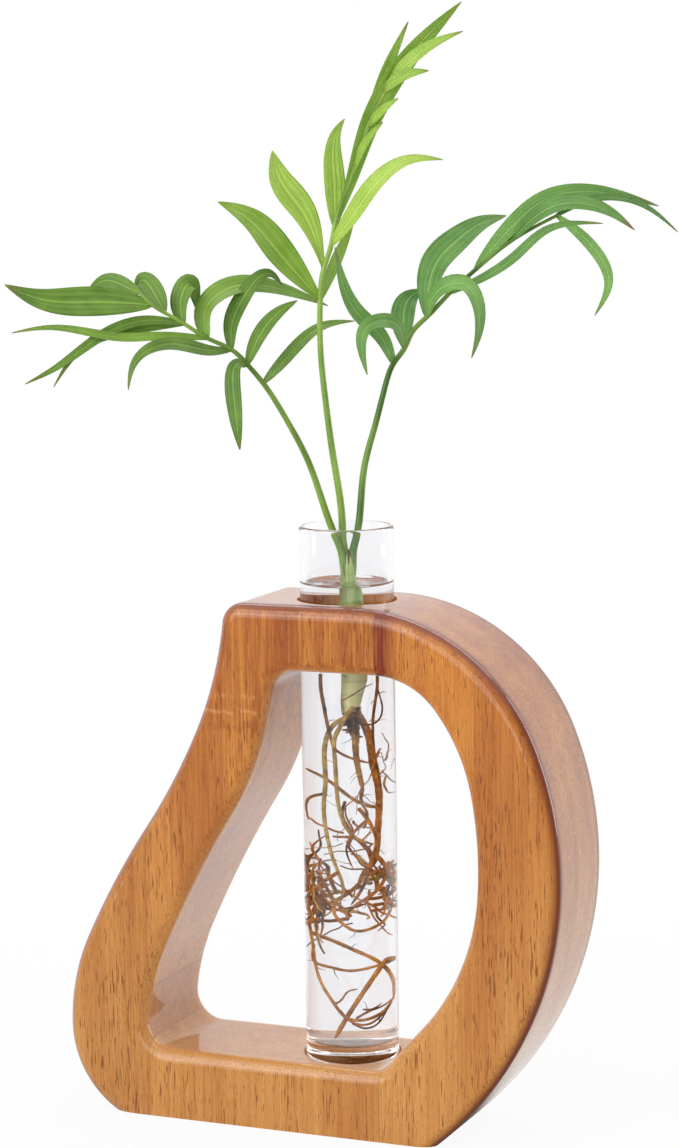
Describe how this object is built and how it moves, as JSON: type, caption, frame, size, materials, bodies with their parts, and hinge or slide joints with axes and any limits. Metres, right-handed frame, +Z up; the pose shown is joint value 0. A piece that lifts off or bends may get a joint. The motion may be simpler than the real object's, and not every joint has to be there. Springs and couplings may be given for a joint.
{
  "type": "propagation vase",
  "caption": "Propagation vase: a glass tube of water stands upright through the top bar of an asymmetric wooden ring glued up from staves, and holds a rooted palm cutting.",
  "frame": {"origin": "on the base plane of the wooden ring, straight under the axis of the glass tube", "axes": "+Z up along the tube, +X along the ring towards its bowed right wall, +Y through the ring's thickness, away from the viewer"},
  "size_m": [0.1503, 0.1135, 0.297],
  "materials": {
    "wood_red": "oiled open-pored hardwood, redder",
    "wood_brown": "oiled open-pored hardwood",
    "wood_tan": "oiled open-pored hardwood, paler",
    "clear_glass": "clear, fire-polished",
    "water": "clear water",
    "stem_green": "smooth plant tissue",
    "root_brown": "wet roots",
    "leaf_green": "satin leaf",
    "leaf_yellow_green": "satin young leaf"
  },
  "bodies": {
    "stand": {"far_left_stave": "wood_red", "bar_left_stave": "wood_brown", "leg_stave": "wood_brown", "corner_stave": "wood_brown", "bar_middle_stave": "wood_red", "top_bar_stave": "wood_red", "right_stave": "wood_tan", "far_right_stave": "wood_tan"},
    "tube": {"glass_tube": "clear_glass", "water": "water"},
    "cutting": {"stem": "stem_green", "roots": "root_brown", "left_frond": "leaf_green", "middle_frond": "leaf_yellow_green", "right_frond": "leaf_green"}
  },
  "joints": [
    {"name": "tube_lift", "type": "slide", "parent": "stand", "child": "tube", "axis": [0, 0, 1], "range_m": [0, 0.13]},
    {"name": "cutting_lift", "type": "slide", "parent": "tube", "child": "cutting", "axis": [0, 0, 1], "range_m": [0, 0.145], "deforming": ["water"]}
  ]
}
